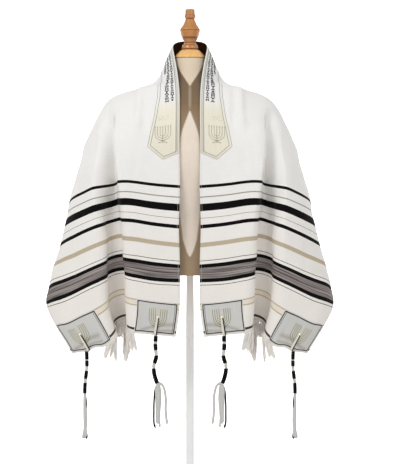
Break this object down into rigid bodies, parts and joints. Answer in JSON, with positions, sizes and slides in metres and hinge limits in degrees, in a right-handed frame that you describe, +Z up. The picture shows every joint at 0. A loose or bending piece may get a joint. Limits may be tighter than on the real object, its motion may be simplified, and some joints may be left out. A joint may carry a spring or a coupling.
{
  "type": "tallit prayer shawl on limbless dress form",
  "caption": "Striped wool prayer shawl with collar band, corner squares, fringe and knotted tassels, draped on a dress form with a wooden finial and a round stand.",
  "frame": {"origin": "centre of the stand base's underside, on the floor", "axes": "+Z up along the pole, -Y towards the shawl's open front, +X to the right seen from the front"},
  "size_m": [0.8596, 0.35, 1.6764],
  "materials": {
    "shawl_wool": "fine white wool with woven black, grey and pale gold stripes",
    "atarah_cloth": "cream woven band with a dark motif and a gold seven-branched lamp",
    "patch_satin": "grey satin with a slight sheen and a gold motif",
    "tassel_cord": "off-white wool cord wound with black",
    "fringe_yarn": "soft off-white yarn",
    "form_cover": "matt taupe cover with beige panels",
    "cap_wood": "clear satin varnish on pale wood",
    "finial_wood": "satin varnish on stained turned wood",
    "stand_paint": "satin white paint"
  },
  "bodies": {
    "root": {"atarah": "atarah_cloth", "corner_patch_left_inner": "patch_satin", "corner_patch_left_outer": "patch_satin", "corner_patch_right_inner": "patch_satin", "corner_patch_right_outer": "patch_satin", "form_finial": "finial_wood", "form_neck_cap": "cap_wood", "form_torso": "form_cover", "fringe_left": "fringe_yarn", "fringe_right": "fringe_yarn", "shawl_cloth": "shawl_wool", "stand_base": "stand_paint", "stand_pole": "stand_paint", "tzitzit_left_inner": "tassel_cord", "tzitzit_left_outer": "tassel_cord", "tzitzit_right_inner": "tassel_cord", "tzitzit_right_outer": "tassel_cord"}
  },
  "joints": []
}
